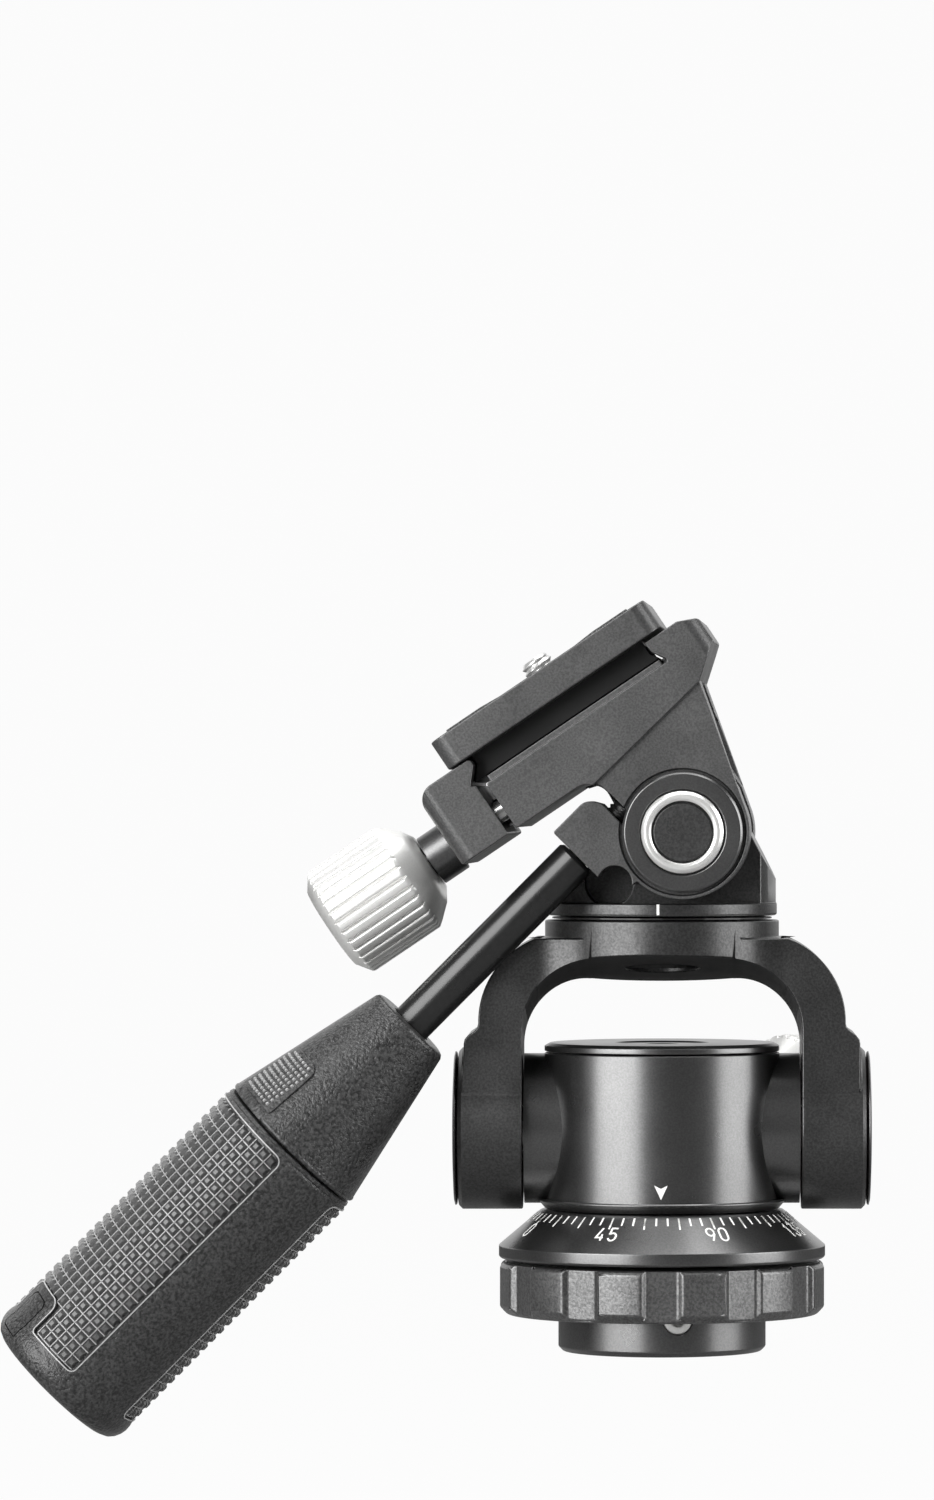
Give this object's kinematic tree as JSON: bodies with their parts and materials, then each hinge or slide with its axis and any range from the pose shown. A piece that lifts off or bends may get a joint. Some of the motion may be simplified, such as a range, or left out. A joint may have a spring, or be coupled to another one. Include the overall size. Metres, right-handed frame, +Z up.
{
  "type": "three way pan tilt head",
  "caption": "Compact three-way pan and tilt head: scaled base, fork for side tilt, turntable, tilting clamp with a dovetail plate, and an extending rubber grip.",
  "frame": {"origin": "middle of the collar's lower face, where the tripod's stud enters", "axes": "+Z up along the pan axis, +X to the right and +Y away from a viewer who faces the index marks; the fork's axle lies along X"},
  "size_m": [0.1682, 0.07, 0.1612],
  "materials": {
    "black_anodised": "satin",
    "satin_black": "satin",
    "silver_anodised": "polished",
    "black_paint": "gloss",
    "steel": "satin",
    "brass": "satin",
    "moulded_black": "matte",
    "rubber": "matte",
    "slip_plastic": "satin"
  },
  "bodies": {
    "base": {"base_collar": "black_anodised", "thread_insert": "brass", "collar_grub_screw": "steel", "pan_spindle": "steel", "scale_ring": "black_anodised", "pan_thrust_washer": "slip_plastic"},
    "pan_lock": {"pan_lock_ring": "black_anodised"},
    "drum": {"drum_body": "black_anodised", "drum_cap": "satin_black", "spindle_washer": "steel", "spindle_nut": "steel", "left_bush": "brass", "right_bush": "brass", "brake_shoe": "brass"},
    "side_lock": {"side_lock_knob": "silver_anodised", "side_lock_screw": "black_anodised"},
    "fork": {"fork_yoke": "satin_black", "fork_axle": "steel", "left_axle_nut": "steel", "right_axle_nut": "steel", "left_end_cap": "black_anodised", "right_end_cap": "black_anodised", "turntable_washer": "slip_plastic"},
    "head": {"tilt_post": "satin_black", "turntable_spindle": "steel", "tilt_axle": "steel", "hub_cap": "black_anodised", "hub_ring": "silver_anodised", "hub_disc": "black_anodised", "rear_hub_cap": "black_anodised"},
    "platform": {"platform_bracket": "satin_black", "front_guide_pin": "steel", "rear_guide_pin": "steel"},
    "jaw": {"clamp_jaw": "satin_black"},
    "knob": {"clamp_knob": "silver_anodised", "clamp_screw": "black_anodised"},
    "plate": {"quick_plate": "satin_black", "left_pad": "rubber", "right_pad": "rubber"},
    "camera_stud": {"camera_screw": "steel"},
    "handle": {"handle_rod": "black_paint"},
    "grip": {"grip_core": "moulded_black", "grip_sleeve": "rubber"},
    "button": {"extension_button": "moulded_black"}
  },
  "joints": [
    {"name": "pan_lock_turn", "type": "hinge", "parent": "base", "child": "pan_lock", "pos_m": [0, 0, 0.012], "axis": [0, 0, 1], "range_deg": [0, 60]},
    {"name": "pan", "type": "hinge", "parent": "base", "child": "drum", "pos_m": [0, 0, 0.0275], "axis": [0, 0, 1], "continuous": true},
    {"name": "side_lock_turn", "type": "hinge", "parent": "drum", "child": "side_lock", "pos_m": [0, 0, 0.0505], "axis": [0.6561, 0.7547, 0], "range_deg": [0, 180]},
    {"name": "side_tilt", "type": "hinge", "parent": "drum", "child": "fork", "pos_m": [0, 0, 0.0433], "axis": [1, 0, 0], "range_deg": [-25, 90]},
    {"name": "turntable_pan", "type": "hinge", "parent": "fork", "child": "head", "pos_m": [0, 0, 0.0848], "axis": [0, 0, 1], "continuous": true},
    {"name": "tilt", "type": "hinge", "parent": "head", "child": "platform", "pos_m": [0.0048, -0.00017, 0.1011], "axis": [0.0349, 0.9994, 0], "range_deg": [0, 124]},
    {"name": "jaw_slide", "type": "slide", "parent": "platform", "child": "jaw", "axis": [-0.8285, 0.0289, -0.5592], "range_m": [0, 0.004]},
    {"name": "knob_turn", "type": "hinge", "parent": "jaw", "child": "knob", "pos_m": [-0.0454, 0.00159, 0.09509], "axis": [-0.8285, 0.0289, -0.5592], "range_deg": [0, 1440]},
    {"name": "plate_slide", "type": "slide", "parent": "platform", "child": "plate", "axis": [0.0349, 0.9994, 0], "range_m": [-0.02, 0.02]},
    {"name": "camera_screw_turn", "type": "hinge", "parent": "plate", "child": "camera_stud", "pos_m": [-0.01918, 0.00067, 0.12593], "axis": [-0.5589, 0.0195, 0.829], "continuous": true},
    {"name": "handle_turn", "type": "hinge", "parent": "platform", "child": "handle", "pos_m": [-0.01789, -0.01839, 0.09467], "axis": [-0.7048, 0.0246, -0.709], "range_deg": [0, 180]},
    {"name": "grip_slide", "type": "slide", "parent": "handle", "child": "grip", "axis": [-0.7048, 0.0246, -0.709], "range_m": [0, 0.06]},
    {"name": "button_press", "type": "slide", "parent": "grip", "child": "button", "axis": [0.5499, 0.6503, -0.5241], "range_m": [0, 0.0012], "stiffness_N_per_m": 1500}
  ],
  "couplings": [
    {"joint": "knob_turn", "follows": "jaw_slide", "rad_per_m": 6283.2}
  ]
}
